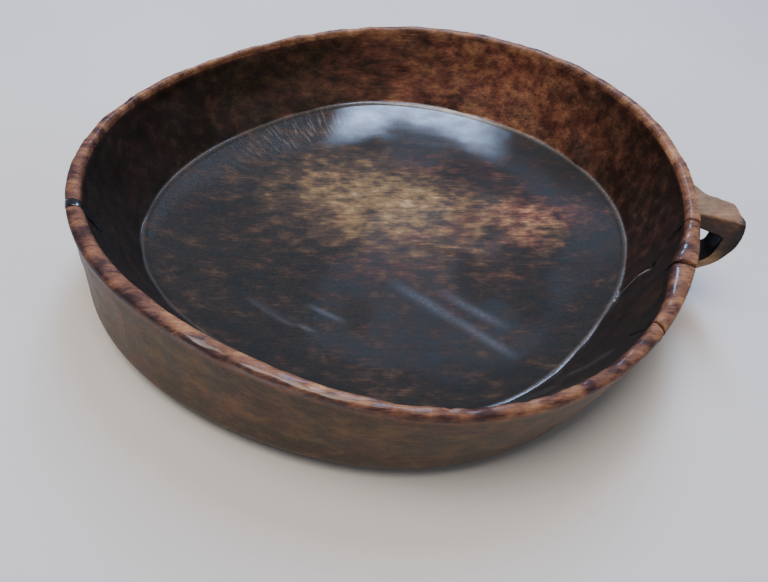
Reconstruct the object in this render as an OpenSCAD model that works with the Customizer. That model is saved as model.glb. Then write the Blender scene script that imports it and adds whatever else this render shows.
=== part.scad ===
// Carved wooden bowl with an ear handle. One block of wood, hollowed by hand:
// the rim wanders in plan and in height, the walls lean, the floor is a flat oval.
// Origin: centre of the resting face. +X: the handle's side. +Z: up.

/* [Rim] */
// Mean radius of the rim's outer edge
rim_radius = 274; // [220:1:330]
// Mean height of the rim above the ground
rim_height = 111.5; // [92:0.5:140]
// Mean width of the rim's top
rim_width = 11.5; // [9:0.1:15]
// How far the rim's two edges are rounded over
rim_round = 3.2; // [1:0.1:4]
// Extra width of the rim at the shoulder beside the handle
shoulder_width = 6.5; // [0:0.5:10]
// Bearing of that shoulder, in degrees from +X
shoulder_bearing = -13; // [-30:1:30]

/* [Wall and floor] */
// Thickness of wood under the floor's edge
floor_height = 26; // [18:0.5:34]
// How much deeper the floor's middle is than its edge
floor_dish = 15; // [0:0.5:16]
// Mean run from the rim's inner edge in to the floor's edge
wall_run = 32.5; // [24:0.5:45]
// How far the inner wall hollows out between rim and floor
wall_hollow = 3; // [0:0.5:6]
// Mean lean of the outer wall, from the rim in to the ground
wall_lean = 9.5; // [0:0.5:20]
// Radius of the rounded foot of the outer wall
foot_radius = 23; // [12:1:30]

/* [Handle] */
// Bearing of the handle's root, in degrees from +X
handle_bearing = 4.5; // [-20:0.5:20]
// Way that the handle points, in degrees from +X
handle_heading = -12.5; // [-20:0.5:20]
// Reach of the handle beyond the rim
handle_reach = 45; // [38:1:52]
// Length of the flat top of the handle, beyond the rim
handle_top = 28; // [22:1:31]
// How far the tip of the nose leans to the near side, in degrees
handle_taper = 8.6; // [0:0.1:12]
// Width of the handle
handle_width = 34; // [26:1:40]
// Height of the handle, from its top down to its lower root
handle_height = 78; // [64:1:86]
// Thickness of the upper arm
arm_top = 17; // [13:0.5:21]
// Thickness of the lower arm at the wall
arm_bottom = 20; // [14:0.5:26]
// Thickness of the nose, where the two arms meet
arm_nose = 17; // [12:0.5:21]
// Drop of the slanting face that ends the flat top
nose_drop = 3; // [1:0.5:8]
// Step from the rim's top down to the handle's top
handle_step = 0.4; // [0:0.1:2]

/* [Drying clefts] */
// Depth of the wide cleft on the far end of the grain
west_depth = 12; // [4:0.5:16]
// Width of that cleft at the rim
west_width = 9; // [2:0.5:11]
// Depth of the cleft beside the handle
handle_cleft_depth = 10; // [4:0.5:16]
// Width of that cleft
handle_cleft_width = 3; // [2:0.5:9]
// Depth of the open cleft beyond the shoulder
east_depth = 15; // [4:0.5:16]
// Width of that cleft
east_width = 5.5; // [2:0.5:9]
// Depth of the narrow cleft furthest from the handle
south_depth = 10; // [4:0.5:16]
// Width of that cleft
south_width = 3.5; // [2:0.5:9]

/* [Hidden] */

// Slow waves left by hand carving: [waves in one turn, height, bearing of a crest]
outline_waves = [[2, 9, 31], [3, 5.8, -43], [4, 3.5, 25]];
height_waves = [[2, 5.7, 44]];
width_waves = [[1, 1.3, -42], [2, 1.7, 48], [3, 1.2, -17]];
lean_waves = [[1, 19.7, 6], [2, 5.6, -7]];
floor_waves = [[1, 8.6, 90], [2, 11.9, 24], [3, 5.1, -57], [4, 6.1, 23]];

// Drying clefts: [bearing, width, depth, slant across the rim, share left open above the fill]
WEST = [-149, west_width, west_depth, -1.6, 0.1];
BESIDE_HANDLE = [-0.5, handle_cleft_width, handle_cleft_depth, -1, 0.3];
EAST = [-12.8, east_width, east_depth, 0.9, 0.6];
SOUTH = [-30, south_width, south_depth, -1, 0.5];
CLEFTS = [WEST, SOUTH, EAST, BESIDE_HANDLE];

shoulder_spread = 8;        // degrees from the shoulder's middle to its flank
lean_power = 1.6;           // the outer wall leans more towards the ground
dip_power = 5;              // a cleft's depth fades this fast down the wall
column_step = 4;            // degrees between two columns of the surface
column_margin = 0.5;        // least angle between a cleft and a plain column
foot_steps = 5;
wall_steps = 6;
round_steps = 3;
inside_steps = 6;
dish_power = 5.7;           // the floor is flat in the middle and turns up at its edge
floor_shares = [0.98, 0.93, 0.86, 0.76, 0.6, 0.35, 0.08];
root_depth = 34;            // how far the handle's blank runs into the wall before it is cut
loop_steps = 12;
loop_back = -12;            // where the loop's outer curve ends at its foot, from the rim
loop_power = 2.2;           // how squarish that curve is; 2 is an ellipse
nose_height = 15;           // height of the blunt front of the nose
hole_back = -8;             // where the finger hole's curve ends at its foot, from the rim
hole_power = 4;             // how squarish the finger hole is
hole_corner = 3;            // cut across the hole's upper corner
near_root = 14;             // the near side's distance from the handle's middle line at the rim
tip_width = 2;              // width of the blunt tip of the nose

floor_radius = rim_radius - rim_width - wall_run;

// ---- the shape of the bowl, as functions of the bearing a -------------------

function sum(list) = list * [for (item = list) 1];
function wave(waves, a) = sum([for (w = waves) w[1] * cos(w[0] * (a - w[2]))]);
function shoulder(a) = shoulder_width * exp(-pow((a - shoulder_bearing) / shoulder_spread, 2));

function rim_r(a) = rim_radius + wave(outline_waves, a);
function rim_z(a) = rim_height + wave(height_waves, a);
function rim_w(a) = rim_width + wave(width_waves, a) + shoulder(a);
function floor_r(a) = floor_radius + wave(floor_waves, a);
function lean(a) = wall_lean + wave(lean_waves, a);
function outer_r(a, z) = rim_r(a) - lean(a) * pow(1 - z / rim_z(a), lean_power);

// Profile of one column, from the ground up the outside, over the rim and down to
// the floor: a list of [radius, height, share of the way across the rim]
function foot_part(a) = [for (i = [0 : foot_steps - 1])
    let (t = 90 * i / foot_steps, z = foot_radius * (1 - cos(t)))
    [outer_r(a, z) - foot_radius * (1 - sin(t)), z, 0.5]];
function wall_part(a) = [for (i = [0 : wall_steps - 1])
    let (f = i / wall_steps, z = foot_radius + (rim_z(a) - rim_round - foot_radius) * f)
    [outer_r(a, z), z, 0.5 * (1 - f)]];
function round_part(a) = [for (i = [0 : round_steps])
    let (t = 90 * i / round_steps)
    [rim_r(a) - rim_round * (1 - cos(t)), rim_z(a) - rim_round * (1 - sin(t)), 0.25]];
function inner_round_part(a) = [for (i = [0 : round_steps])
    let (t = 90 * i / round_steps)
    [rim_r(a) - rim_w(a) + rim_round * (1 - sin(t)), rim_z(a) - rim_round * (1 - cos(t)), 0.75]];
function inside_part(a) = [for (i = [1 : inside_steps])
    let (f = i / inside_steps, top_r = rim_r(a) - rim_w(a), top_z = rim_z(a) - rim_round)
    [top_r + (floor_r(a) - top_r) * f + wall_hollow * sin(180 * f),
     top_z + (floor_height - top_z) * f, 1 - 0.5 * f]];
function floor_part(a) = [for (s = floor_shares)
    [floor_r(a) * s, floor_height - floor_dish * (1 - pow(s, dish_power)), 0.5]];
function column(a) = concat(foot_part(a), wall_part(a), round_part(a),
                            inner_round_part(a), inside_part(a), floor_part(a));

function half_angle(cleft) = asin(cleft[1] / 2 / rim_r(cleft[0]));
function clear_of_clefts(a) = len([for (c = CLEFTS)
    if (abs(a - c[0]) < half_angle(c) + abs(c[3]) / 2 + column_margin) c]) == 0;

// Columns all the way round: [bearing, slant, depth]; a cleft adds its two lips and its root
function cleft_columns(c) = [
    [c[0] - half_angle(c), c[3], 0],
    [c[0], c[3], c[2]],
    [c[0] + half_angle(c), c[3], 0]];
function columns(from, to) = [for (a = [from : column_step : to - column_step])
    for (entry = concat(clear_of_clefts(a) ? [[a, 0, 0]] : [],
                        [for (c = CLEFTS) if (c[0] >= a && c[0] < a + column_step)
                            each cleft_columns(c)]))
        entry];

// A point of a column: the slant shears it across the rim and the depth sinks it
function place(entry, p) =
    let (a = entry[0] + entry[1] * (0.5 - p[2]),
         z = p[1] - entry[2] * pow(p[1] / rim_z(entry[0]), dip_power))
    [p[0] * cos(a), p[0] * sin(a), max(z, 0)];
function placed(entry) = [for (p = column(entry[0])) place(entry, p)];

// Faces of a grid of points: rows run one after another, "wide" points in each
function strip_faces(rows, wide, wraps) = [for (j = [0 : rows - (wraps ? 1 : 2)], i = [0 : wide - 2])
    let (k = (j + 1) % rows, a = j * wide + i, b = k * wide + i)
    each [[a, a + 1, b + 1], [a, b + 1, b]]];

// ---- the pieces ---------------------------------------------------------------

module bowl_body() {
    all = columns(-180, 180);
    rows = len(all);
    wide = len(column(0));
    color([0.27, 0.17, 0.11])
        polyhedron(
            points = [for (entry = all) each placed(entry)],
            faces = concat(
                strip_faces(rows, wide, true),
                [[for (j = [0 : rows - 1]) j * wide]],
                [[for (j = [rows - 1 : -1 : 0]) j * wide + wide - 1]]),
            convexity = 6);
}

// The outer wall near the handle, as a block that the handle's root is cut with
module wall_block() {
    outside = foot_steps + wall_steps + round_steps + 1;
    near = columns(column_step * round(handle_bearing / column_step) - 6 * column_step,
                   column_step * round(handle_bearing / column_step) + 6 * column_step);
    back_part = function(a) let (lip = rim_r(a) - rim_round, back = lip - 2 * root_depth, top = rim_z(a) + arm_top)
        [for (q = [[lip, top], [back, top], [back, 0]]) [q[0] * cos(a), q[0] * sin(a), q[1]]];
    wide = outside + 4;
    points = [for (j = [0 : len(near) - 1])
        let (p = placed(near[j]))
        each concat([for (i = [0 : outside - 1]) p[i]], back_part(near[j][0]), [p[0]])];
    rows = len(near);
    polyhedron(
        points = points,
        faces = concat(
            strip_faces(rows, wide, false),
            [[for (i = [wide - 2 : -1 : 0]) i]],
            [[for (i = [0 : wide - 2]) (rows - 1) * wide + i]]),
        convexity = 4);
}

// Quarter of a squarish ellipse, from its outermost point down to its lowest one
function quarter(centre, size, power) = [for (i = [0 : loop_steps])
    let (t = 90 * i / loop_steps)
    centre + [size[0] * pow(cos(t), 2 / power), -size[1] * pow(sin(t), 2 / power)]];

// Side view of the handle: x is outward from the rim, y is up from its top face
module loop_outline() {
    nose_low = nose_drop + nose_height;
    hole_reach = handle_reach - arm_nose;
    hole_foot = handle_height - arm_bottom;
    difference() {
        polygon(concat(
            [[-root_depth, 0], [handle_top, 0], [handle_reach - nose_drop, -nose_drop]],
            quarter([loop_back, -nose_low],
                    [handle_reach - loop_back, handle_height - nose_low], loop_power),
            [[-root_depth, -handle_height]]));
        polygon(concat(
            [[-root_depth - 1, -arm_top], [hole_reach - hole_corner, -arm_top]],
            quarter([hole_back, -arm_top - hole_corner],
                    [hole_reach - hole_back, hole_foot - arm_top - hole_corner], hole_power),
            [[-root_depth - 1, -hole_foot]]));
    }
}

// Plan of the handle: its far side is straight and then cut back to the tip of the nose,
// and its near side leans in to meet it there
module plan_outline() {
    far = handle_width - near_root;
    lean_in = tan(handle_taper);
    near = function(x) -near_root + x * lean_in;
    polygon([[-root_depth, far], [handle_top, far], [handle_reach, near(handle_reach) + tip_width],
             [handle_reach, near(handle_reach)], [-root_depth, near(-root_depth)]]);
}

module ear_handle() {
    a = handle_bearing;
    color([0.42, 0.30, 0.22])
        difference() {
            translate([rim_r(a) * cos(a), rim_r(a) * sin(a), rim_z(a) - handle_step])
                rotate([0, 0, handle_heading])
                    intersection() {
                        rotate([90, 0, 0])
                            linear_extrude(3 * handle_width, center = true)
                                loop_outline();
                        translate([0, 0, -handle_height])
                            linear_extrude(handle_height)
                                plan_outline();
                    }
            wall_block();
        }
}

// The hard dark fill in a cleft: a wedge that lies in the cleft from outside to inside
module cleft_fill(cleft) {
    first = foot_steps + wall_steps - 2;
    last = foot_steps + wall_steps + 2 * round_steps + 3;
    lips = cleft_columns(cleft);
    sunk = cleft[4];
    west_lip = placed(lips[0]);
    root = placed(lips[1]);
    east_lip = placed(lips[2]);
    sections = [for (i = [first : last])
        [west_lip[i] * (1 - sunk) + root[i] * sunk, root[i],
         east_lip[i] * (1 - sunk) + root[i] * sunk]];
    n = len(sections);
    color([0.10, 0.10, 0.12])
        polyhedron(
            points = [for (s = sections) each s],
            faces = concat(
                [[0, 1, 2], [3 * n - 1, 3 * n - 2, 3 * n - 3]],
                [for (j = [0 : n - 2], i = [0 : 2])
                    let (k = (i + 1) % 3)
                    each [[3 * j + i, 3 * j + 3 + i, 3 * j + 3 + k],
                          [3 * j + i, 3 * j + 3 + k, 3 * j + k]]]),
            convexity = 2);
}

module cleft_fill_west() { cleft_fill(WEST); }
module cleft_fill_handle() { cleft_fill(BESIDE_HANDLE); }
module cleft_fill_east() { cleft_fill(EAST); }
module cleft_fill_south() { cleft_fill(SOUTH); }

bowl_body();
ear_handle();
cleft_fill_west();
cleft_fill_handle();
cleft_fill_east();
cleft_fill_south();
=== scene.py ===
# %% [markdown]
# # A carved wooden bowl with an ear handle
#
# The real bowl is one block of hardwood. A carver roughed it out with an adze, hollowed it,
# and left a loop of the same wood beside the rim to lift or hang it by. Years of oil, hands
# and food gave it a dark skin that has worn through to warm brown on the floor and the rim.
# This lesson builds it in the order a carver would: first the outline, then the section of
# the wall, then the tool marks, and the finish last.

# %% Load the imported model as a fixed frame
import bpy
import numpy as np
from mathutils import Matrix, Vector


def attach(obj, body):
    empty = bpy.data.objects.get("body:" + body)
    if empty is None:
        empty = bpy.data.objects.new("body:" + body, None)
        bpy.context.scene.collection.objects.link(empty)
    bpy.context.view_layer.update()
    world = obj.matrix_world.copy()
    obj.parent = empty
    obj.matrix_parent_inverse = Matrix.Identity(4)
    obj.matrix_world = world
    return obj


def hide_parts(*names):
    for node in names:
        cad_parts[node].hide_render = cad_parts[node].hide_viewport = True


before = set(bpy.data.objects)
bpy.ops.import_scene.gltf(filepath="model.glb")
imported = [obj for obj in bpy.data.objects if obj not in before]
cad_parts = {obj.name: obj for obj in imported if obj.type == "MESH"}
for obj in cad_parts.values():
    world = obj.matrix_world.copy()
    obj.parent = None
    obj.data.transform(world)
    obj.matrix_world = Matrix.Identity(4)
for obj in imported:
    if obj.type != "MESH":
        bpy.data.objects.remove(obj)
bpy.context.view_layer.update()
MM = 0.001

# %% [markdown]
# ## The outline wanders
#
# A turned bowl is a circle. A carved one isn't: its rim swells and flattens as the hand goes
# round. A few slow cosine waves added to a circle say exactly that, with one line for each
# wave, so plan, rim height, rim width, lean of the wall and floor all use the same function.
# A bearing is an angle in degrees from +X, where the handle is. Sizes here are millimetres.

# %% The waves of the outline
RIM_RADIUS = 274.0
RIM_HEIGHT = 111.5
RIM_WIDTH = 11.5
FLOOR_HEIGHT = 26.0
FLOOR_DISH = 15.0
DISH_POWER = 5.7      # flat in the middle, turning up towards the wall
WALL_RUN = 32.5
WALL_HOLLOW = 3.0
WALL_LEAN = 9.5
FOOT_RADIUS = 23.0
LEAN_POWER = 1.6      # the wall leans in late, most of it near the foot
FLOOR_RADIUS = RIM_RADIUS - RIM_WIDTH - WALL_RUN
HANDLE_BEARING = 4.5
SHOULDER_BEARING = -13.0
SHOULDER_SWELL = 6.5      # extra width of the rim there
SHOULDER_SPREAD = 8.0     # degrees
OUTLINE_WAVES = [(2, 9.0, 31), (3, 5.8, -43), (4, 3.5, 25)]
HEIGHT_WAVES = [(2, 5.7, 44)]
WIDTH_WAVES = [(1, 1.3, -42), (2, 1.7, 48), (3, 1.2, -17)]
LEAN_WAVES = [(1, 19.7, 6), (2, 5.6, -7)]
FLOOR_WAVES = [(1, 8.6, 90), (2, 11.9, 24), (3, 5.1, -57), (4, 6.1, 23)]


def wave(waves, bearing):
    """Sum of slow waves: height times cosine of count times (bearing minus crest)."""
    return sum(high * np.cos(np.radians(count * (bearing - crest))) for count, high, crest in waves)


def bump(distance, width):
    """A bell: 1 at distance 0, falling smoothly to about a third at one width."""
    return np.exp(-((distance / width) ** 2))


def ease(value, low, high):
    """0 below low, 1 above high, and a smooth S-curve between them."""
    t = np.clip((value - low) / (high - low), 0.0, 1.0)
    return t * t * (3.0 - 2.0 * t)


def turn_between(bearing, other):
    """Signed angle from other to bearing, from -180 to 180 degrees."""
    return (bearing - other + 180.0) % 360.0 - 180.0


def rim_radius(bearing):
    """Radius of the rim's outer edge: a circle plus the outline waves."""
    return RIM_RADIUS + wave(OUTLINE_WAVES, bearing)


def rim_height(bearing):
    """Height of the rim's top: level plus the height wave, highest at two opposite bearings."""
    return RIM_HEIGHT + wave(HEIGHT_WAVES, bearing)


def rim_width(bearing):
    """Width of the rim: its own waves, plus the shoulder that is left beside the handle."""
    shoulder = SHOULDER_SWELL * bump(turn_between(bearing, SHOULDER_BEARING), SHOULDER_SPREAD)
    return RIM_WIDTH + wave(WIDTH_WAVES, bearing) + shoulder


def floor_radius(bearing):
    """Radius of the floor's edge: an oval of its own inside the rim."""
    return FLOOR_RADIUS + wave(FLOOR_WAVES, bearing)


def outer_radius(bearing, height):
    """Outer wall: the rim's radius less a lean that grows as a power of the depth below it."""
    depth = np.clip(1.0 - height / rim_height(bearing), 0.0, 1.0)
    return rim_radius(bearing) - (WALL_LEAN + wave(LEAN_WAVES, bearing)) * depth**LEAN_POWER


turn = np.arange(-180.0, 180.0)
print("rim radius from", rim_radius(turn).min().round(1), "to", rim_radius(turn).max().round(1), "mm")
print("rim height from", rim_height(turn).min().round(1), "to", rim_height(turn).max().round(1), "mm")

# %% [markdown]
# ## Clefts
#
# Green wood shrinks as it dries, and a bowl cut from a log opens at the end grain. This one
# has one wide cleft opposite the handle and three by the handle. The surface needs more
# columns there than elsewhere, so the bearings are spread by a density: one column for each
# degree everywhere, and a bell of extra ones at each cleft. Adding up the density and reading
# it backwards gives the bearings.

# %% Where the clefts are, and the bearings of the columns
# name: (bearing, width, depth, slant across the rim, share left open above the fill)
CLEFTS = {
    "west": (-149.0, 9.0, 12.0, -1.6, 0.04),
    "handle": (-0.5, 3.0, 10.0, -1.0, 0.30),
    "east": (-12.8, 5.5, 15.0, 0.9, 0.60),
    "south": (-30.0, 3.5, 10.0, -1.0, 0.50),
}
CRACK_BEARING = -6.0
COLUMNS = 500


def spread_columns(count):
    """Bearings whose density is 1 plus a bell of 9 at each cleft and 3 along the inner crack."""
    fine = np.linspace(-180.0, 180.0, 36001)
    density = 1.0 + 3.0 * bump(turn_between(fine, CRACK_BEARING), 3.5)
    for bearing, *rest in CLEFTS.values():
        density = density + 9.0 * bump(turn_between(fine, bearing), 1.3)
    total = np.cumsum(density)
    return np.interp(np.arange(count) / count * total[-1], total, fine)


BEARINGS = spread_columns(COLUMNS)
print("columns:", COLUMNS, "finest step", np.diff(BEARINGS).min().round(3), "degrees")

# %% [markdown]
# ## The section of the wall
#
# One column of the surface runs from the middle of the underside, round the foot, up the
# outer wall, over the rim, down the inner wall and in to the middle of the floor. Each stretch
# is a function of a share from 0 to 1 and of the bearing, and they are stacked into one grid.

# %% The stretches of the section
RIM_SQUARE = 2.5    # power of the rim's squarish ellipse: 2 is round, 4 is nearly a box
RIM_ROLL = 6.0      # how far down each side the rim's rounding reaches
EDGE_ROLL = 2.0     # radius of the worn corner between wall and floor


def underside(share, bearing):
    """Flat ring from the middle out to where the foot starts to round."""
    return share * (outer_radius(bearing, 0.0) - FOOT_RADIUS), 0.0 * share * bearing


def foot(share, bearing):
    """Quarter circle from the ground up to the wall."""
    height = FOOT_RADIUS * (1.0 - np.cos(np.pi / 2 * share)) + 0.0 * bearing
    return outer_radius(bearing, height) - FOOT_RADIUS * (1.0 - np.sin(np.pi / 2 * share)), height


def outer_wall(share, bearing):
    """Leaning wall from the foot up to where the rim starts to roll over."""
    height = FOOT_RADIUS + (rim_height(bearing) - RIM_ROLL - FOOT_RADIUS) * share
    return outer_radius(bearing, height), height


def rim(share, bearing):
    """Half of a squarish ellipse, from the outer side over the top to the inner side."""
    angle = np.pi * share
    half = rim_width(bearing) / 2
    across = np.sign(np.cos(angle)) * np.abs(np.cos(angle)) ** (2 / RIM_SQUARE)
    up = np.abs(np.sin(angle)) ** (2 / RIM_SQUARE)
    middle = outer_radius(bearing, rim_height(bearing) - RIM_ROLL) - half
    return middle + half * across, rim_height(bearing) - RIM_ROLL * (1.0 - up)


def inner_wall(share, bearing):
    """From the rim in and down to the floor's edge, hollowed by half a sine wave."""
    top = outer_radius(bearing, rim_height(bearing) - RIM_ROLL) - rim_width(bearing)
    low = FLOOR_HEIGHT + EDGE_ROLL * 0.7
    radius = top + (floor_radius(bearing) + EDGE_ROLL * 0.3 - top) * share
    high = rim_height(bearing) - RIM_ROLL
    return radius + WALL_HOLLOW * np.sin(np.pi * share), high + (low - high) * share


def floor(share, bearing):
    """From the worn corner in to the middle, dished as a power of the radius."""
    out = 1.0 - share
    radius = out * floor_radius(bearing)
    corner = EDGE_ROLL * 0.7 * bump(share * floor_radius(bearing), EDGE_ROLL * 0.8)
    return radius, FLOOR_HEIGHT - FLOOR_DISH * (1.0 - out**DISH_POWER) + corner


# (name, function, rows, share of the stretch at its first and last row)
STRETCHES = [
    ("underside", underside, 12, 0.04, 0.98),
    ("foot", foot, 12, 0.0, 0.95),
    ("outer_wall", outer_wall, 40, 0.0, 0.98),
    ("rim", rim, 34, 0.0, 1.0),
    ("inner_wall", inner_wall, 42, 0.02, 1.0),
    ("floor", floor, 50, 0.004, 0.97),
]


def stack(bearing):
    """All stretches, one below the other: radius, height, name index and share of every row."""
    rows = [[], [], [], []]
    for index, (name, stretch, count, first, last) in enumerate(STRETCHES):
        share = np.linspace(first, last, count)[:, None]
        if name == "floor":
            share = share**1.35
        radius, height = stretch(share, bearing[None, :])
        for store, value in zip(rows, (radius, height, index + 0 * radius, share + 0 * radius)):
            store.append(np.broadcast_to(value, (count, bearing.size)))
    return [np.vstack(store) for store in rows]


RADIUS, HEIGHT, STRETCH, SHARE = stack(BEARINGS)
NAMES = [name for name, *rest in STRETCHES]
print("grid:", RADIUS.shape, "of", NAMES)


def on(name):
    """1 where the grid belongs to that stretch, 0 elsewhere."""
    return (STRETCH == NAMES.index(name)).astype(float)


def points(radius, height, bearing):
    """Radius, height and bearing to points in metres."""
    angle = np.radians(bearing)
    return np.stack([radius * np.cos(angle), radius * np.sin(angle), height + 0 * radius], -1) * MM


# %% [markdown]
# ## Tool marks
#
# An adze leaves shallow scoops that meet in soft ridges. The distance to the nearest of many
# scattered strokes gives just that: it is lowest in the middle of a stroke and highest where
# two meet. Slower unevenness is a sum of cosine waves in random directions, which is smooth
# and never repeats. Both are worked out for the whole grid at once.

# %% Two kinds of unevenness
def ripple(place, length, seed, stretch=(1.0, 1.0, 1.0), terms=12):
    """Smooth random surface, about -1 to 1: cosines of random directions near one wavelength."""
    rng = np.random.default_rng(seed)
    total = np.zeros(place.shape[:-1])
    for _ in range(terms):
        way = rng.normal(size=3)
        way = way / np.linalg.norm(way) / (length * rng.uniform(0.7, 1.4))
        total += np.cos(2 * np.pi * (place @ (way * np.array(stretch)) + rng.uniform()))
    return total / np.sqrt(terms / 2)


def scoops(across, along, wide, long, seed, period=None):
    """Scoop depth, 0 on ridges to 1 in a stroke's middle: distance to the nearest stroke in a
    jittered grid of strokes that are wide by long, wrapping after a whole period across."""
    count = None if period is None else max(1, round(period / wide))
    wide = wide if period is None else period / count
    cell_x, cell_y = np.floor(across / wide), np.floor(along / long)
    nearest = np.full(np.broadcast(across, along).shape, 9.0)
    for dx in (-1, 0, 1):
        for dy in (-1, 0, 1):
            gx, gy = cell_x + dx, cell_y + dy
            key = (gx if count is None else gx % count) * 12.9898 + gy * 78.233 + seed * 37.719
            jx = np.modf(np.abs(np.sin(key)) * 43758.5453)[0]
            jy = np.modf(np.abs(np.sin(key + 1.7)) * 24634.6345)[0]
            far = np.hypot(across / wide - gx - 0.15 - 0.7 * jx, along / long - gy - 0.15 - 0.7 * jy)
            nearest = np.minimum(nearest, far)
    return 1.0 - np.clip(nearest, 0.0, 1.0) ** 2


BASE = points(RADIUS, HEIGHT, BEARINGS)
ARC = np.radians(BEARINGS)[None, :] * RIM_RADIUS
TURN = 2 * np.pi * RIM_RADIUS
sample = ripple(BASE, 0.05, 1)
print("ripple spans", sample.min().round(2), "to", sample.max().round(2))

# %% [markdown]
# ## Carve the grid
#
# Every mark is a depth into the wood. Keeping all of them at or below zero means that the
# carved surface never grows past the block it is cut from, just as on the real bowl.

# %% Depth of every mark, in millimetres
PLANED = 0.45    # a last even skim off the whole outside


def marks():
    """Depth into the wood at every grid point: the sum over all kinds of mark of its depth, times
    where it lies, times its unevenness (scoops outside, strokes inside, wear on the rim)."""
    outside = on("outer_wall") * ease(SHARE, 0.0, 0.35) * (1.0 - ease(SHARE, 0.85, 1.0))
    planed = on("foot") + on("outer_wall") + on("rim") * (1.0 - ease(SHARE, 0.3, 0.7))
    inside = on("inner_wall") * ease(SHARE, 0.0, 0.15)
    low = on("floor") * ease(SHARE, 0.06, 0.40)
    beside_handle = bump(turn_between(BEARINGS, HANDLE_BEARING), 5.0)[None, :]
    worn = on("rim") * np.sin(np.pi * SHARE) ** 0.5 * (1.0 - beside_handle)
    x, y = BASE[..., 0] / MM, BASE[..., 1] / MM
    kinds = [
        (0.55, outside, 1.0 - scoops(ARC, HEIGHT, 52.0, 40.0, 3, TURN)),
        (0.25, outside, 1.0 + ripple(BASE, 0.032, 5)),
        (PLANED, planed, 1.0),
        (0.70, inside, 1.0 - scoops(ARC, HEIGHT, 26.0, 60.0, 7, TURN)),
        (0.60, inside, 1.0 + ripple(BASE, 0.060, 9)),
        (0.30, low, 1.0 - scoops(y, x, 17.0, 70.0, 11)),
        (0.50, low, 1.0 + ripple(BASE, 0.090, 13)),
        (0.45, worn, 1.0 + ripple(BASE, 0.034, 15)),
        (0.15, worn, 1.0 + ripple(BASE, 0.009, 17)),
    ]
    return -sum(deep * where * uneven for deep, where, uneven in kinds)


def ticks():
    """Short knife ticks across the inner half of the rim, in one stretch near the front."""
    arc = np.radians(BEARINGS) * RIM_RADIUS
    jitter = 1.6 * np.sin(arc / 11.0) + 1.1 * np.sin(arc / 4.7)
    saw = np.abs((arc + jitter) / 6.2 % 1.0 - 0.5) * 2.0
    where = ease(BEARINGS, -80.0, -72.0) * (1.0 - ease(BEARINGS, -24.0, -18.0))
    across = on("rim") * ease(SHARE, 0.45, 0.6) * (1.0 - ease(SHARE, 0.9, 1.0))
    return -0.9 * across * (ease(saw, 0.55, 1.0) * where)[None, :]


def normals(place):
    """Unit normals of a grid whose columns close on themselves: cross product of its two steps."""
    along = np.gradient(place, axis=0)
    around = np.roll(place, -1, axis=1) - np.roll(place, 1, axis=1)
    normal = np.cross(around, along)
    return normal / np.linalg.norm(normal, axis=-1, keepdims=True)


# The crack that runs down inside by the handle: (bearing, height) from its open end to the floor
CRACK = [(-5.0, 64.8), (-4.5, 49.0), (-6.5, 31.0), (-9.0, 26.5)]
CRACK_DEPTH = 1.6
POCKET_DEPTH = 3.5
INNER_SHARE = 0.9    # radius of the inner wall over the rim's, for lengths along that wall


def along_wall(bearing):
    """Arc length along the inner wall at a bearing, in millimetres."""
    return np.radians(bearing) * RIM_RADIUS * INNER_SHARE


INNER_ARC = along_wall(BEARINGS)[None, :]


def crack_distance(side=0.0):
    """Millimetres to the crack, in arc length and height on the inner wall; side shifts it along."""
    corners = np.array([(along_wall(bearing) + side, height) for bearing, height in CRACK])
    nearest = np.full(RADIUS.shape, 1e3)
    for (arc, high), step in zip(corners[:-1], np.diff(corners, axis=0)):
        past, above = INNER_ARC - arc, HEIGHT - high
        along = np.clip((past * step[0] + above * step[1]) / (step @ step), 0.0, 1.0)
        nearest = np.minimum(nearest, np.hypot(past - along * step[0], above - along * step[1]))
    return nearest + 1e3 * (1.0 - on("inner_wall"))


def pocket_distance(squash=1.0):
    """Millimetres to the pocket at the crack's open end; a squash above 1 makes it lower."""
    bearing, height = CRACK[0]
    return np.hypot(INNER_ARC - along_wall(bearing), (HEIGHT - height) * squash)


def crack():
    """A narrow split with a pocket at its open end."""
    pocket = on("inner_wall") * bump(pocket_distance(1.3), 3.4)
    return -CRACK_DEPTH * bump(crack_distance(), 1.5) - POCKET_DEPTH * pocket


DEPTH = marks() + ticks() + crack()
NORMAL = normals(BASE)
CARVED = BASE + NORMAL * (DEPTH * MM)[..., None]
print("deepest mark", DEPTH.min().round(2), "mm; outer normals point out:",
      bool((NORMAL[30] * BASE[30]).sum(-1).min() > 0))

# %% [markdown]
# The clefts come last, as they did on the real bowl. A cleft lets the whole section down by
# its depth, most at the top and hardly at all near the floor, inside a narrow V. The fill
# uses the same V again, so it lies in its cleft without any fitting.

# %% Open the clefts
CLEFT_FADE = 5    # power of the height by which a cleft gets shallower further down


def cleft_share(name, bearing, across):
    """1 on a cleft's centre line, 0 at its lips and beyond, sheared by its slant across the rim."""
    centre, width, _, slant, _ = CLEFTS[name]
    gap = np.radians(turn_between(bearing, centre + slant * (0.5 - across))) * RIM_RADIUS
    return np.clip(1.0 - np.abs(gap) / (width / 2), 0.0, 1.0)


def across_rim():
    """0 on the outer wall near the rim, 1 on the inner wall, and the share across between."""
    fall = on("inner_wall") * (1.0 - 0.5 * SHARE) + on("floor") * 0.5
    rise = (on("underside") + on("foot") + on("outer_wall") * (1.0 - SHARE)) * 0.5
    return rise + on("rim") * SHARE + fall


ACROSS = across_rim()


def sink(place, name, share):
    """Let points down by the cleft's depth times share, fading as a power of their height."""
    top = rim_height(CLEFTS[name][0]) * MM
    lowered = place.copy()
    closed = 1.0 - on("inner_wall") * ease(SHARE, 0.04, 0.22)
    fade = np.clip(place[..., 2] / top, 0.0, 1.0) ** CLEFT_FADE
    lowered[..., 2] -= CLEFTS[name][2] * MM * share * closed * fade
    return lowered


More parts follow.
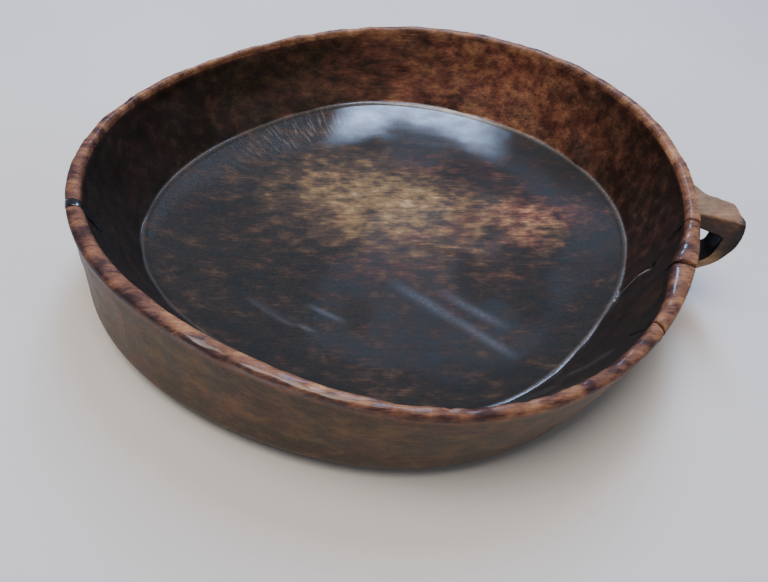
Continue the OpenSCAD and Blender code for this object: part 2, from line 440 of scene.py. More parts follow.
for name in CLEFTS:
    CARVED = sink(CARVED, name, cleft_share(name, BEARINGS[None, :], ACROSS) ** 0.5)
print("lowest point of the rim row:", (CARVED[on("rim")[:, 0] > 0][17, :, 2].min() / MM).round(1), "mm")

# %% [markdown]
# Put a grid into a mesh. Quads join each row to the next and the last column to the first,
# and a fan closes each pole.

# %% Grid to mesh
def vertex_places(mesh):
    """Every vertex of a mesh, as rows of x, y and z in metres."""
    place = np.zeros(3 * len(mesh.vertices))
    mesh.vertices.foreach_get("co", place)
    return place.reshape(-1, 3)


def enclosed(mesh):
    """Volume in cubic centimetres: a sixth of the sum of corner · (corner x corner) over the
    triangles. It is above zero only when the faces of a closed mesh point outwards."""
    mesh.calc_loop_triangles()
    corner = np.zeros(3 * len(mesh.loop_triangles), dtype=np.int32)
    mesh.loop_triangles.foreach_get("vertices", corner)
    a, b, c = vertex_places(mesh)[corner.reshape(-1, 3)].transpose(1, 0, 2)
    return float((a * np.cross(b, c)).sum() / 6.0 * 1e6)


def quads(rows, columns):
    """Corner numbers of the quads of a grid whose last column joins the first."""
    row, column = np.meshgrid(np.arange(rows - 1), np.arange(columns), indexing="ij")
    here = row * columns + column
    right = row * columns + (column + 1) % columns
    return np.stack([here, right, right + columns, here + columns], -1).reshape(-1, 4)


def make_piece(name, vertices, faces, closed=True):
    """A mesh object at the origin, its place in its vertices; a closed one is smooth."""
    mesh = bpy.data.meshes.new(name)
    mesh.from_pydata(vertices.tolist(), [], faces)
    mesh.validate()
    piece = bpy.data.objects.new(name, mesh)
    bpy.context.scene.collection.objects.link(piece)
    if closed:
        mesh.shade_smooth()
        print(name, len(mesh.polygons), "faces round", round(enclosed(mesh), 2), "cubic centimetres")
    return piece


def close_grid(place):
    """Vertices and faces of a wrapped grid with a fan to a middle point at each end."""
    rows, columns = place.shape[:2]
    first, last = place[0].mean(0), place[-1].mean(0)
    vertices = np.vstack([place.reshape(-1, 3), first, last])
    low, high = rows * columns, rows * columns + 1
    ring = np.arange(columns)
    following = (ring + 1) % columns
    fan_low = np.stack([following, ring, np.full(columns, low)], -1)
    end = (rows - 1) * columns
    fan_high = np.stack([end + ring, end + following, np.full(columns, high)], -1)
    return vertices, quads(rows, columns).tolist() + fan_low.tolist() + fan_high.tolist()


def set_attribute(piece, name, values):
    """Store one number for each vertex under a name that a material can read."""
    layer = piece.data.attributes.new(name, "FLOAT", "POINT")
    layer.data.foreach_set("value", np.asarray(values, dtype=np.float32).ravel())


bowl = make_piece("bowl_body_carved", *close_grid(CARVED))

# %% [markdown]
# ## The fills
#
# Someone has pressed a dark, shiny filler into the clefts: pitch or resin, which sets hard
# and keeps the crack from running on. Each one is a thin wedge. Its section is the V of its
# cleft, cut off below the lips by the share that is left open, and it is carried over the
# rim from the outer wall to the inner one.

# %% Press the filler into the clefts
# (stretch, its share at the fill's first and last row there, rows)
FILL_STRETCHES = [(outer_wall, 0.55, 0.98, 14), (rim, 0.0, 1.0, 20), (inner_wall, 0.02, 0.3, 10)]
FILL_FIT = 0.94      # width of the fill over the width of its cleft
FILL_DOME = 0.06     # swell of its top, as a share of the cleft's depth
FILL_WAVE = 0.02     # slow rise and fall along it, as the same share
FILL_INSET = 0.3     # millimetres in from the uncarved surface


def fill_path(name):
    """Radius, height and share across the rim, from the outer wall over the rim to the inner."""
    bearing = np.array([CLEFTS[name][0]])
    shares, places = [], []
    for stretch, first, last, rows in FILL_STRETCHES:
        shares.append(np.linspace(first, last, rows))
        places.append(stretch(shares[-1][:, None], bearing))
    radius, height = (np.vstack(part)[:, 0] for part in zip(*places))
    out, over, into = shares
    return radius, height, np.concatenate([0.5 * (1 - out), over, 1 - 0.5 * into])


def make_fill(name, side_steps=4):
    """A wedge along the cleft. Its ring goes up one side of the V, over a slightly domed top and
    down the other side: side is -1 to 1 across, and lift is 0 at the root and 1 at the top."""
    centre, width, depth, slant, sunk = CLEFTS[name]
    radius, height, across = fill_path(name)
    climb = np.linspace(0.0, 1.0, side_steps, endpoint=False)
    over = np.linspace(-1.0, 1.0, 2 * side_steps, endpoint=False)
    side = np.concatenate([-climb, over, 1.0 - climb])[None, :]
    lift = np.concatenate([climb, 1.0 + FILL_DOME * (1.0 - over**2), 1.0 - climb])[None, :]
    opened = (1.0 - sunk) * lift + FILL_WAVE * np.sin(5 * across)[:, None] * lift
    gap = np.degrees(width / 2 * FILL_FIT / RIM_RADIUS) * side * (1.0 - sunk)
    bearing = centre + (slant * (0.5 - across))[:, None] + gap
    place = points(radius[:, None] - FILL_INSET, height[:, None] + 0 * gap, bearing)
    fade = np.clip(place[..., 2] / (rim_height(centre) * MM), 0, 1) ** CLEFT_FADE
    place[..., 2] -= depth * MM * (1.0 - opened) * fade
    return make_piece("filler_" + name, *close_grid(place))


fills = {name: make_fill(name) for name in CLEFTS}

# %% [markdown]
# ## The ear handle
#
# The handle is a loop of the same block, sawn and whittled rather than bent: a flat top flush
# with the rim, a slanting nose, and a lower arm that runs back into the wall. It could be a
# box with a hole cut out of it, but then every edge is as sharp as a machined one. Here the
# loop's outer line and the line of its hole are both followed from root to root, and a
# rounded box is laid between them at each step, wider where the arms grow out of the wall.

# %% The two lines of the loop
HANDLE_HEADING = -12.5
HANDLE_REACH = 45.0
HANDLE_TOP = 28.0
HANDLE_TAPER = 8.6
FAR_SIDE = 20.0
NEAR_SIDE = -14.0
TIP_WIDTH = 2.0
HANDLE_HEIGHT = 78.0
ARM_TOP = 17.0
ARM_BOTTOM = 20.0
ARM_NOSE = 17.0
NOSE_DROP = 3.0
NOSE_SAG = 5.0       # the upper arm is that much deeper at the nose than at the rim
UPPER_ROOT = -9.0    # how far the upper arm runs into the rim
LOWER_ROOT = -25.0   # the wall leans in, so the lower arm runs further back
NOSE_FRONT = 15.0    # straight part of the nose, before the bend starts
OUTER_BEND = -12.0   # where the bend of the outer line has come round to level
HOLE_BEND = -8.0     # the same for the line of the hole
FLARE = 9.0          # how much wider the upper arm is where it grows out of the wall


def quarter(centre, size, power, share):
    """Quarter of a squarish ellipse, from its outermost point down to its lowest one."""
    turn_by = np.pi / 2 * share
    u = centre[0] + size[0] * np.cos(turn_by) ** (2 / power)
    v = centre[1] - size[1] * np.sin(turn_by) ** (2 / power)
    return np.stack([u, v], -1)


def follow(corners, share):
    """Points along a line of corners, at shares of its whole length."""
    step = np.concatenate([[0], np.cumsum(np.hypot(*np.diff(corners, axis=0).T))])
    return np.stack([np.interp(share * step[-1], step, corners[:, k]) for k in (0, 1)], -1)


def loop_lines(upper=26, bend=56, lower=14):
    """Outer line and hole line, matched step for step: upper arm, bend, lower arm."""
    arm = np.linspace(0, 1, upper, endpoint=False)
    turned = np.linspace(0, 1, bend, endpoint=False)
    back = np.linspace(0, 1, lower)
    smooth = np.linspace(0, 1, 60)
    nose = NOSE_DROP + NOSE_FRONT
    swing = (HANDLE_REACH - OUTER_BEND, HANDLE_HEIGHT - nose)
    outer_bend = np.vstack([[[HANDLE_TOP, 0.0], [HANDLE_REACH - NOSE_DROP, -NOSE_DROP]],
                            quarter((OUTER_BEND, -nose), swing, 2.2, smooth)])
    reach = HANDLE_REACH - ARM_NOSE
    foot_of_hole = HANDLE_HEIGHT - ARM_BOTTOM
    low_nose = ARM_TOP + NOSE_SAG
    swing = (reach - HOLE_BEND, foot_of_hole - low_nose - 3)
    hole_bend = np.vstack([[[reach - 8, -low_nose], [reach - 3, -low_nose - 1]],
                           quarter((HOLE_BEND, -low_nose - 3), swing, 4.0, smooth)])
    roof = np.array([[UPPER_ROOT, -ARM_TOP], [0.0, -ARM_TOP], [reach - 8, -low_nose]])
    top = np.array([[UPPER_ROOT, 0.0], [HANDLE_TOP, 0.0]])
    bottom = np.array([[OUTER_BEND, -HANDLE_HEIGHT], [LOWER_ROOT, -HANDLE_HEIGHT]])
    sill = np.array([[HOLE_BEND, -foot_of_hole], [LOWER_ROOT, -foot_of_hole]])
    outer = np.vstack([follow(top, arm), follow(outer_bend, turned), follow(bottom, back)])
    hole = np.vstack([follow(roof, arm), follow(hole_bend, turned), follow(sill, back)])
    return outer, hole


OUTER_LINE, HOLE_LINE = loop_lines()
thickness = np.hypot(*(OUTER_LINE - HOLE_LINE).T)
print("loop steps:", len(OUTER_LINE), "thinnest", thickness.min().round(1), "mm")


# %% Carry the rounded box round the loop
def loop_ring(ring=64, power=7.0):
    """A rounded box as a squarish ellipse: signed powers of cosine (thickness) and sine (width)."""
    angle = -np.linspace(0, 2 * np.pi, ring, endpoint=False) - np.pi / ring
    thick = np.sign(np.cos(angle)) * np.abs(np.cos(angle)) ** (2 / power)
    wide = np.sign(np.sin(angle)) * np.abs(np.sin(angle)) ** (2 / power)
    return thick, wide


def make_handle():
    """Middle of the two lines, plus half their gap times the box's thickness, plus its width. The
    hole's side reaches further in towards the far face, so the finger hole narrows that way."""
    thick, wide = loop_ring()
    middle = (OUTER_LINE + HOLE_LINE) / 2
    half = (OUTER_LINE - HOLE_LINE) / 2
    closing = np.where(thick < 0, 1.0 + 1.0 * np.clip(wide, 0.0, 1.0), 1.0)
    u = middle[:, :1] + half[:, :1] * (thick * closing)[None, :]
    v = middle[:, 1:] + half[:, 1:] * (thick * closing)[None, :]
    flare = FLARE * bump(u + 10.0, 9.0) * ease(v, -26.0, -12.0)
    near = NEAR_SIDE + u * np.tan(np.radians(HANDLE_TAPER)) - 0.2 * flare
    cut_back = FAR_SIDE - NEAR_SIDE - HANDLE_REACH * np.tan(np.radians(HANDLE_TAPER)) - TIP_WIDTH
    past_top = np.maximum(u - HANDLE_TOP, 0.0) / (HANDLE_REACH - HANDLE_TOP)
    far = FAR_SIDE - cut_back * past_top + flare
    w = (far + near) / 2 + (far - near) / 2 * wide[None, :]
    heading, bearing = np.radians(HANDLE_HEADING), np.radians(HANDLE_BEARING)
    root = rim_radius(HANDLE_BEARING)
    x = root * np.cos(bearing) + u * np.cos(heading) - w * np.sin(heading)
    y = root * np.sin(bearing) + u * np.sin(heading) + w * np.cos(heading)
    z = rim_height(HANDLE_BEARING) - 0.4 + v
    place = np.stack([x, y, z], -1) * MM
    normal = normals(place)
    facets = 1.0 - scoops(w + 0.6 * u, 0.8 * v - u, 12.0, 17.0, 21)
    depth = -0.5 * facets - 0.25 * (1 + ripple(place, 0.012, 23)) - 0.2
    vertices, faces = close_grid(place + normal * (depth * MM)[..., None])
    return make_piece("ear_handle_carved", vertices, faces), u, v


handle, HANDLE_U, HANDLE_V = make_handle()
handle_places = vertex_places(handle.data)
print("handle from", handle_places.min(0).round(4), "to", handle_places.max(0).round(4))

# %% [markdown]
# ## Where the skin is dark and where it has worn
#
# Old oiled wood is dark where nothing rubs it and warm where hands and food do. Each of these
# masks says in one place how worn, how red or how pale a point is. They are stored on the
# vertices, and the finish breaks them up with grain and mottle, so no mask has a clean edge.
# Three of them also paint light as colour: the pale line is partly painted highlight, the
# grey streaks on the floor are partly painted reflection, and deep is painted shade in the
# clefts, the crack and the finger hole, besides the knots' own dark colour.
#
# The mask called polish is set for the look. It gives the far edge of the floor and a few
# places on the wall and rim a strong clear coat, and the rest of the floor hardly any, so that
# the window shows on the far edge and not on the near floor.

# %% Masks on the bowl
def spot(place, x, y, long, wide, turned=0.0):
    """A soft oval on plan, its size and centre in millimetres, turned by some degrees."""
    c, s = np.cos(np.radians(turned)), np.sin(np.radians(turned))
    dx, dy = place[..., 0] / MM - x, place[..., 1] / MM - y
    return np.exp(-((dx * c + dy * s) / long) ** 2 - ((dy * c - dx * s) / wide) ** 2)


def soft_streak(place, start, end, wide):
    """A soft line on plan: 1 on the line from start to end, fading over a width in millimetres."""
    start, end = np.array(start, float), np.array(end, float)
    offset = place[..., :2] / MM - start
    along = np.clip(offset @ (end - start) / ((end - start) @ (end - start)), 0.0, 1.0)
    away = np.linalg.norm(offset - along[..., None] * (end - start), axis=-1)
    return bump(away, wide) * np.sin(np.pi * np.clip(along, 0.03, 0.97)) ** 0.5


# Bluish streaks on the floor: partly scuffed wax, partly painted reflection.
# (start, end, width) in millimetres on plan
SCUFFS_AND_REFLECTIONS = [
    ((14, -62), (92, -98), 5.0),
    ((84, -92), (136, -122), 4.4),
    ((62, -62), (126, -88), 4.6),
    ((-112, -122), (-64, -141), 1.8),
    ((-70, -132), (-38, -147), 1.5),
    ((-58, -112), (-18, -124), 1.6),
]
KNOTS = [(-4, 253, 81, 8.0), (18, 261, 106, 4.0)]    # x, y, z and size, in millimetres


def bowl_masks():
    """Every mask of the bowl for each grid point, mostly 0 to 1; red also goes below 0."""
    b = BEARINGS[None, :]
    on_floor, on_wall, on_rim = on("floor"), on("inner_wall"), on("rim")
    outside = on("outer_wall") + on("foot") + on("underside")
    rim_band = on_rim + on_wall * (1.0 - ease(SHARE, 0.0, 0.06)) + on("outer_wall") * ease(SHARE, 0.92, 1.0)
    centre = spot(BASE, -18, 50, 128, 78, -6)
    right_patch = spot(BASE, 150, 82, 66, 26, 10) + 0.6 * spot(BASE, 148, 38, 28, 18)
    far_wall, right_wall = bump(turn_between(b, 76), 46), bump(turn_between(b, 14), 20)
    near_left, far_left = bump(turn_between(b, -115), 42), bump(turn_between(b, 150), 40)
    worn = on_floor * (0.13 + 0.56 * centre + 0.30 * right_patch)
    worn = worn + on_wall * (0.11 + 0.42 * far_wall + 0.03 * right_wall + 0.13 * far_left)
    worn = worn + outside * (0.50 - 0.07 * (1.0 - ease(HEIGHT, 5.0, 80.0)))
    outer_half = 1.0 - ease(SHARE, 0.2, 0.6)
    far_rim, near_rim = bump(turn_between(b, -155), 30), bump(turn_between(b, -46), 26)
    worn = worn + on_rim * (0.55 - 0.30 * near_left * outer_half - 0.08 * far_wall)
    worn = worn - on_rim * (0.15 * far_rim + 0.13 * near_rim)
    red = on_floor * (-0.25 + 0.9 * right_patch + 0.6 * spot(BASE, 70, 130, 95, 42))
    red = red + on_floor * 0.35 * spot(BASE, 10, -20, 140, 80)
    red = red + on_wall * (0.02 + 0.85 * far_wall + 0.15 * right_wall) + outside * 0.02 + on_rim * 0.45
    mottled = on_floor * (0.62 + 0.35 * right_patch + 0.1 * centre)
    mottled = mottled + on_wall * (0.35 + 0.45 * far_wall) + outside * 0.38 + on_rim * 0.8
    # The pale line round the floor's corner is partly dust and partly a painted highlight, strongest at the
    # far side and on the right by the handle.
    edge = bump(SHARE * floor_radius(b), 1.7)
    along_edge = 0.12 + 0.75 * bump(turn_between(b, 75), 68) + 0.45 * bump(turn_between(b, -28), 16)
    line = on_floor * edge * along_edge
    stroke = on_floor * bump(SHARE - 0.11, 0.09) * bump(turn_between(b, 130), 26)
    # grey on the floor: the bluish streaks, partly scuffs and partly painted reflection.
    grey = 0.55 * on_floor * sum(soft_streak(BASE, *entry) for entry in SCUFFS_AND_REFLECTIONS)
    shoulder = on_rim * bump(turn_between(b, -11), 9) * ease(SHARE, 0.5, 0.75)
    worn = worn - 0.3 * shoulder
    by_rim = on_rim + on("outer_wall") * ease(SHARE, 0.7, 0.9) + on_wall * (1.0 - ease(SHARE, 0.05, 0.2))
    # deep paints shade as near black in the clefts, along the crack and in its pocket; the knots add their
    # own real dark colour.
    deep = by_rim * sum(ease(cleft_share(name, b, ACROSS), 0.0, 0.15) for name in CLEFTS)
    pocket = bump(crack_distance(), 1.3) + bump(pocket_distance(), 3.6) * on_wall
    knots = sum(bump(np.linalg.norm(BASE / MM - knot[:3], axis=-1), knot[3]) for knot in KNOTS)
    deep = deep + pocket + 0.75 * knots
    # A painted highlight along one lip of the crack, in the same pale colour.
    line = line + 1.7 * bump(crack_distance(side=-2.6), 1.8)
    x, y = BASE[..., 0] / MM, BASE[..., 1] / MM
    far_edge = ease(x, -122, -84) * (1.0 - ease(x, 40, 115)) * (1.0 - ease(SHARE, 0.08, 0.30)) * (y > 0)
    near_wall = bump(turn_between(b, -42), 32) * ease(SHARE, 0.05, 0.4)
    near_rim_side = outer_half * bump(turn_between(b, -101), 18)
    polish = on_floor * (0.02 + 0.98 * far_edge) + on_wall * (0.25 + 0.6 * near_wall) + outside * 0.25
    polish = polish + on_rim * (0.15 + 0.8 * near_rim_side + 0.8 * shoulder)
    return {"worn": worn, "red": red, "rim": np.clip(rim_band, 0, 1), "mottled": mottled, "line": line,
            "stroke": stroke, "grey": grey, "deep": np.clip(deep, 0, 1), "polish": polish}


def pad_poles(values):
    """Values of the grid followed by one for each pole."""
    return np.concatenate([values.ravel(), [values[0].mean(), values[-1].mean()]])


for name, values in bowl_masks().items():
    set_attribute(bowl, name, pad_poles(values))
    print(name, "from", values.min().round(2), "to", values.max().round(2))

# %% Masks on the handle
def handle_masks():
    """The same masks on the handle: worn and pinkish on top, dark on the near side, and painted shade in
    the hole.
    """
    top_face = ease(HANDLE_V, -4.0, -1.5)
    place_in_ring = np.arange(HANDLE_U.shape[1])
    # hole_face: the inside of the finger hole, where worn and deep paint shade nearly black over the dark
    # skin.
    hole_face = (np.abs(place_in_ring - place_in_ring.mean()) < 12).astype(float)
    none = 0.0 * HANDLE_U
    tip = ease(HANDLE_U, 34.0, 42.0)
    lower_arm = ease(-HANDLE_V, 28.0, 50.0)
    worn = 0.42 + 0.22 * top_face + 0.40 * lower_arm - 0.3 * hole_face[None, :]
    return {"worn": worn * (1.0 - 0.65 * tip), "red": none + 0.12,
            "rim": 0.12 * top_face, "mottled": none + 0.35, "line": none, "stroke": none,
            "grey": 0.25 * top_face, "deep": none + 0.9 * hole_face[None, :], "polish": none + 0.25}


for name, values in handle_masks().items():
    set_attribute(handle, name, pad_poles(values))

# %% [markdown]
# ## Old oiled hardwood
#
# Dense tropical hardwood, oiled and handled for decades. To the eye: a nearly black skin,
# brown to tan where it is worn, fine streaks along the grain, a red cast in patches, tiny
# open pores, and a wax shine that is strong in some places and weak in others. One small
# function adds a node with its settings and its links, and the colours are sRGB hex values
# turned to linear light by another.

# %% Helpers for materials
def linear(hex_colour):
    """sRGB hex to linear RGBA: the standard curve, each channel raised to 2.4 above its toe."""
    srgb = np.array([int(hex_colour[k:k + 2], 16) for k in (1, 3, 5)]) / 255
    rgb = np.where(srgb <= 0.04045, srgb / 12.92, ((srgb + 0.055) / 1.055) ** 2.4)
    return (*rgb.tolist(), 1.0)


def add(material, kind, inputs=None, out=0, stops=None, **settings):
    """Add a node, set its properties and ramp stops, link or set its inputs, return one output."""
    node = material.node_tree.nodes.new(kind)
    for key, value in settings.items():
        setattr(node, key, value)
    for key, value in (inputs or {}).items():
        if isinstance(value, bpy.types.NodeSocket):
            material.node_tree.links.new(value, node.inputs[key])
        else:
            node.inputs[key].default_value = value
    for index, (position, colour) in enumerate(stops or []):
        elements = node.color_ramp.elements
        element = elements[index] if index < 2 else elements.new(position)
        element.position, element.color = position, linear(colour)
    return node.outputs[out] if len(node.outputs) else node


def new_material(name):
    """An empty node material."""
    material = bpy.data.materials.new(name)
    material.use_nodes = True
    material.node_tree.nodes.clear()
    return material


print("helpers ready; pure red is", linear("#ff0000"))

# %% Patterns of the wood, each with its real size
# name: (size along the grain, across it and up, in millimetres, noise detail, moved by in metres)
GRAIN_BEARING = 16.5    # the log lay a little off the line of the handle
WOOD_PATTERNS = {
    "streak": ((34.0, 2.2, 2.2), 3.0, 0.0),    # vessels seen side on, drawn twice as coarse as real
    "fibre": ((11.0, 1.2, 1.2), 2.0, 0.3),     # the finest lines that still show
    "mottle": ((22.0, 13.0, 13.0), 8.0, 0.7),  # patches where the skin has worn through
    "patch": ((80.0, 55.0, 55.0), 3.0, 1.1),   # slow change of tone over a hand's width
    "stain": ((50.0, 34.0, 34.0), 5.0, 1.9),   # where the red heartwood shows
    "pit": ((3.4, 2.4, 2.4), 2.0, 2.3),        # open pores and pecks
}


def wood_patterns(material):
    """One stretched noise for each entry, on Object coordinates turned to the grain. A mapping of
    the texture kind moves, turns and then divides by the size, so the size is the pattern's own."""
    place = add(material, "ShaderNodeTexCoord", out="Object")
    found = {}
    for name, (size, detail, moved) in WOOD_PATTERNS.items():
        where = add(material, "ShaderNodeMapping",
                    {"Vector": place, "Location": (moved, moved, moved), "Scale": [s * MM for s in size],
                     "Rotation": (0.0, 0.0, np.radians(GRAIN_BEARING))}, vector_type="TEXTURE")
        found[name] = add(material, "ShaderNodeTexNoise",
                          {"Vector": where, "Scale": 1.0, "Detail": detail, "Roughness": 0.6})
    return found


def weighted(material, start, terms):
    """Start plus the sum of each pattern times its weight, with its middle value taken off."""
    total = start
    for pattern, weight in terms:
        shifted = add(material, "ShaderNodeMath", {0: pattern, 1: -0.5}, operation="ADD")
        total = add(material, "ShaderNodeMath", {0: shifted, 1: weight, 2: total}, operation="MULTIPLY_ADD")
    return total


# %% The wood itself
# (position on the ramp, colour), the two ends first
SKIN = [(0.0, "#11100c"), (0.95, "#a08a66"), (0.22, "#211913"), (0.46, "#3f3023"), (0.72, "#71593b")]
HEART = [(0.0, "#170c0a"), (0.95, "#b4825a"), (0.22, "#351a13"), (0.46, "#61372c"), (0.72, "#8b5a42")]
RIM = [(0.0, "#1f1214"), (0.95, "#b08b62"), (0.25, "#3c2320"), (0.5, "#6c4734"), (0.75, "#916748")]
STROKE_COLOUR = "#857461"    # dry wood in the short strokes at the floor's edge
SCUFF_AND_REFLECTION_COLOUR = "#767d8c"     # bluish grey streaks: dull scraped wax, and painted reflection
DUST_AND_HIGHLIGHT_COLOUR = "#b0a69f"      # pale line in the floor's corner and along the crack: partly dust, partly painted highlight
SHADE_AND_KNOT_COLOUR = "#0b0908"      # painted shade in the clefts, crack and finger hole; the knots' own dark colour
STROKE_RADIUS = 250.0        # millimetres out, where the strokes have the next two sizes
STROKE_WIDE = 3.4
STROKE_LONG = 17.0


def around(material):
    """A direction pattern: the point's bearing as a unit vector, with its distance from the middle."""
    place = add(material, "ShaderNodeTexCoord", out="Object")
    flat = add(material, "ShaderNodeVectorMath", {0: place, 1: (1.0, 1.0, 0.0)}, operation="MULTIPLY")
    unit = add(material, "ShaderNodeVectorMath", {0: flat}, operation="NORMALIZE")
    length = add(material, "ShaderNodeVectorMath", {0: flat}, out="Value", operation="LENGTH")
    wide = add(material, "ShaderNodeVectorMath",
               {0: unit, "Scale": STROKE_RADIUS / STROKE_WIDE}, operation="SCALE")
    long = add(material, "ShaderNodeCombineXYZ", {"Z": length})
    drawn = add(material, "ShaderNodeVectorMath",
                {0: long, "Scale": 1.0 / (STROKE_LONG * MM)}, operation="SCALE")
    where = add(material, "ShaderNodeVectorMath", {0: wide, 1: drawn}, operation="ADD")
    return add(material, "ShaderNodeTexNoise",
               {"Vector": where, "Scale": 1.0, "Detail": 3.0, "Roughness": 0.6})


def oiled_hardwood():
    """Dark skin to worn tan by the wear mask and noise; red heartwood and golden rim blended in."""
    wood = new_material("oiled_hardwood")
    pattern = wood_patterns(wood)
    masks = ("worn", "red", "rim", "mottled", "line", "stroke", "grey", "deep", "polish")
    mask = {name: add(wood, "ShaderNodeAttribute", out="Fac", attribute_name=name) for name in masks}
    spread = weighted(wood, 0.0, [(pattern["mottle"], 1.9), (pattern["streak"], 0.5),
                                  (pattern["patch"], 0.6), (pattern["fibre"], 0.5)])
    wear = add(wood, "ShaderNodeMath",
               {0: spread, 1: mask["mottled"], 2: mask["worn"]}, operation="MULTIPLY_ADD")
    reddish = weighted(wood, mask["red"], [(pattern["stain"], 2.0), (pattern["streak"], 0.8)])
    golden = weighted(wood, mask["rim"], [(pattern["mottle"], 0.5)])
    skin = add(wood, "ShaderNodeValToRGB", {"Fac": wear}, stops=SKIN)
    heart = add(wood, "ShaderNodeValToRGB", {"Fac": wear}, stops=HEART)
    edge = add(wood, "ShaderNodeValToRGB", {"Fac": wear}, stops=RIM)
    body = add(wood, "ShaderNodeMix", {0: reddish, 6: skin, 7: heart}, out=2, data_type="RGBA")
    with_rim = add(wood, "ShaderNodeMix", {0: golden, 6: body, 7: edge}, out=2, data_type="RGBA")
    strokes = add(wood, "ShaderNodeMapRange",
                  {"Value": around(wood), "From Min": 0.50, "From Max": 0.72, "To Max": 0.6})
    brushed = add(wood, "ShaderNodeMath", {0: strokes, 1: mask["stroke"]}, operation="MULTIPLY")
    with_strokes = add(wood, "ShaderNodeMix", {0: brushed, 6: with_rim, 7: linear(STROKE_COLOUR)},
                       out=2, data_type="RGBA")
    ragged = add(wood, "ShaderNodeMapRange",
                 {"Value": pattern["pit"], "From Min": 0.3, "From Max": 0.7, "To Min": 0.15, "To Max": 0.5})
    # The grey streaks: partly scuffed wax, partly painted reflection.
    scuff_and_reflection = add(wood, "ShaderNodeMath", {0: mask["grey"], 1: ragged}, operation="MULTIPLY")
    with_scuffs_and_reflections = add(wood, "ShaderNodeMix", {0: scuff_and_reflection, 6: with_strokes, 7: linear(SCUFF_AND_REFLECTION_COLOUR)},
                      out=2, data_type="RGBA")
    # The pale line: partly dust, partly painted highlight.
    pale = add(wood, "ShaderNodeMath", {0: mask["line"], 1: ragged}, operation="MULTIPLY")
    with_line = add(wood, "ShaderNodeMix", {0: pale, 6: with_scuffs_and_reflections, 7: linear(DUST_AND_HIGHLIGHT_COLOUR)},
                    out=2, data_type="RGBA")
    # Near black from deep: painted shade in the clefts, crack and finger hole, and the knots' own colour.
    colour = add(wood, "ShaderNodeMix", {0: mask["deep"], 6: with_line, 7: linear(SHADE_AND_KNOT_COLOUR)},
                 out=2, data_type="RGBA")
    dry = add(wood, "ShaderNodeMapRange", {"Value": mask["polish"], "To Min": 0.74, "To Max": 0.40})
    shine = weighted(wood, dry, [(pattern["mottle"], 0.3), (pattern["pit"], 0.35)])
    sealed = add(wood, "ShaderNodeMapRange", {"Value": mask["deep"], "To Min": 1.0, "To Max": 0.0})
    patchy = add(wood, "ShaderNodeMapRange",
                 {"Value": pattern["mottle"], "From Min": 0.35, "From Max": 0.6,
                  "To Min": 1.0, "To Max": 0.6})
    uneven = add(wood, "ShaderNodeMath", {0: mask["polish"], 1: patchy}, operation="MULTIPLY")
    waxed = add(wood, "ShaderNodeMath", {0: sealed, 1: uneven}, operation="MULTIPLY")
    relief = weighted(wood, 0.0, [(pattern["streak"], 0.35), (pattern["fibre"], 0.5),
                                  (pattern["pit"], 0.5)])
    normal = add(wood, "ShaderNodeBump", {"Height": relief, "Strength": 0.22, "Distance": 0.001})
    surface = add(wood, "ShaderNodeBsdfPrincipled",
                  {"Base Color": colour, "Roughness": shine, "IOR": 1.5, "Normal": normal,
                   "Specular IOR Level": 0.22, "Coat Weight": waxed, "Coat Roughness": 0.12,
                   "Coat IOR": 1.5})
    add(wood, "ShaderNodeOutputMaterial", {"Surface": surface})
    return wood


wood = oiled_hardwood()
for piece, node, slot in ((bowl, "bowl_body", "carved_wood"), (handle, "ear_handle", "handle_wood")):
    piece.data.materials.append(wood)
    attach(piece, "root")
    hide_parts(node)
print("nodes in the wood:", len(wood.node_tree.nodes))

# %% [markdown]
# ## Pitch in the clefts
#
# The filler set as hard as glass: almost black, with a faint blue in its shine, and so smooth
# that each one carries its own small highlight.

# %% Set pitch
def set_pitch():
    """Black gloss with a slightly wavy surface, so that its highlight breaks up."""
    pitch = new_material("set_pitch")
    place = add(pitch, "ShaderNodeTexCoord", out="Object")
    lumps = add(pitch, "ShaderNodeTexNoise", {"Vector": place, "Scale": 1000.0 / 5.0, "Detail": 3.0})
    colour = add(pitch, "ShaderNodeValToRGB", {"Fac": lumps}, stops=[(0.35, "#0b0c10"), (0.7, "#23262d")])
    normal = add(pitch, "ShaderNodeBump", {"Height": lumps, "Strength": 0.4, "Distance": 0.001})
    surface = add(pitch, "ShaderNodeBsdfPrincipled",
                  {"Base Color": colour, "Roughness": 0.16, "IOR": 1.55, "Normal": normal})
    add(pitch, "ShaderNodeOutputMaterial", {"Surface": surface})
    return pitch


pitch = set_pitch()
for name, piece in fills.items():
    piece.data.materials.append(pitch)
    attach(piece, "root")
    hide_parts("cleft_fill_" + name)
print("fills:", [piece.name for piece in fills.values()])

# %% [markdown]
# ## Floor, light and camera
#
# A plain pale floor. One tall window stands beyond the bowl, and the coat on the far edge of
# the bowl's floor mirrors it; a wide soft light hangs overhead. The camera looks down from a
# standing height, a little turned and tilted, as if held in two hands.

# %% Pale floor
def pale_floor():
    """Matt, slightly uneven off-white."""
    ground = new_material("pale_floor")
    place = add(ground, "ShaderNodeTexCoord", out="Object")
    cloud = add(ground, "ShaderNodeTexNoise", {"Vector": place, "Scale": 2.0, "Detail": 2.0})
    colour = add(ground, "ShaderNodeValToRGB", {"Fac": cloud}, stops=[(0.3, "#c3bebb"), (0.7, "#ccc8c4")])
    surface = add(ground, "ShaderNodeBsdfPrincipled", {"Base Color": colour, "Roughness": 0.9, "IOR": 1.3})
    add(ground, "ShaderNodeOutputMaterial", {"Surface": surface})
    return ground


FLOOR_HALF = 4.0
FLOOR_DROP = 0.0004
corners = np.array([[-1, -1], [1, -1], [1, 1], [-1, 1]]) * FLOOR_HALF
corners = np.column_stack([corners, np.full(4, -FLOOR_DROP)])
ground = make_piece("pale_floor", corners, [[0, 1, 2, 3]], closed=False)
ground.data.materials.append(pale_floor())


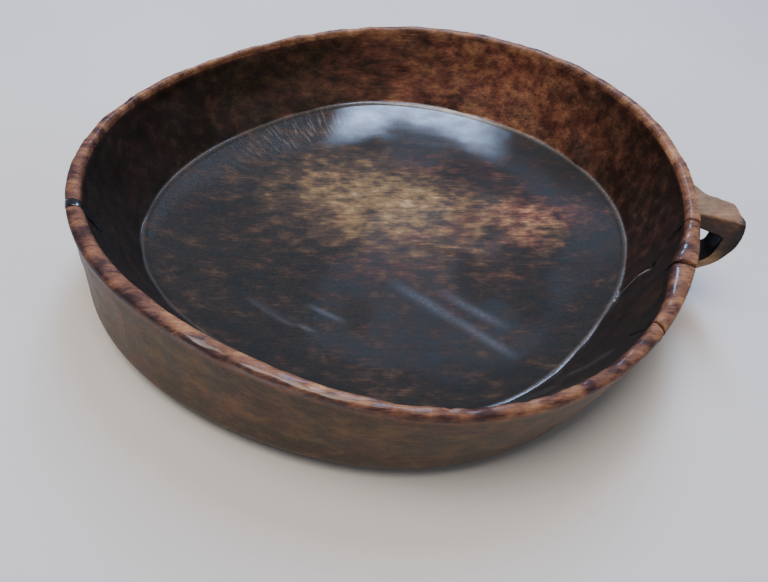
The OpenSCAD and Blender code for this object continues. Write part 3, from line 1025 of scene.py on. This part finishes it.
# %% Lights
def area_light(name, place, look_at, size, watts, colour):
    """A rectangle of light at a place, turned to look at a point."""
    lamp = bpy.data.lights.new(name, "AREA")
    lamp.shape, lamp.size, lamp.size_y = "RECTANGLE", size[0], size[1]
    lamp.energy, lamp.color = watts, linear(colour)[:3]
    light = bpy.data.objects.new(name, lamp)
    bpy.context.scene.collection.objects.link(light)
    facing = (Vector(place) - Vector(look_at)).to_track_quat("Z", "Y").to_matrix().to_4x4()
    light.matrix_world = Matrix.Translation(place) @ facing
    return light


area_light("skylight", (-0.08, 1.46, 2.27), (-0.02, 0.2, 0.0), (0.65, 1.60), 95.0, "#b6d2ff")
area_light("overhead", (-0.35, -0.35, 2.3), (0.0, 0.0, 0.0), (1.3, 1.3), 64.0, "#fff5ea")
world = bpy.data.worlds.new("soft_room")
world.use_nodes = True
world.node_tree.nodes["Background"].inputs["Color"].default_value = linear("#d5d8df")
world.node_tree.nodes["Background"].inputs["Strength"].default_value = 0.38
bpy.context.scene.world = world

# %% Camera
CAMERA_PLACE = (0.0591, -0.4740, 0.467)
CAMERA_HEADING = 7.5      # degrees to the left of +Y
CAMERA_DOWN = 48.608      # degrees below the horizon
CAMERA_ROLL = 6.743       # degrees, the hand's tilt
CAMERA_LENS = 29.48

camera = bpy.data.objects.new("camera", bpy.data.cameras.new("camera"))
camera.data.lens = CAMERA_LENS
camera.data.sensor_width = 36.0
camera.data.clip_start = 0.01
head, down, roll = np.radians([CAMERA_HEADING, CAMERA_DOWN, CAMERA_ROLL])
level = np.array([np.cos(head), np.sin(head), 0.0])
forward = np.array([-np.sin(head) * np.cos(down), np.cos(head) * np.cos(down), -np.sin(down)])
upright = np.cross(level, forward)
across = np.cos(roll) * level + np.sin(roll) * upright
upward = -np.sin(roll) * level + np.cos(roll) * upright
axes = np.eye(4)
axes[:3, 0], axes[:3, 1], axes[:3, 2], axes[:3, 3] = across, upward, -forward, CAMERA_PLACE
camera.matrix_world = Matrix(axes.tolist())
bpy.context.scene.collection.objects.link(camera)
bpy.context.scene.camera = camera
print("camera looks along", forward.round(3))

# %% Update the view layer
bpy.context.view_layer.update()
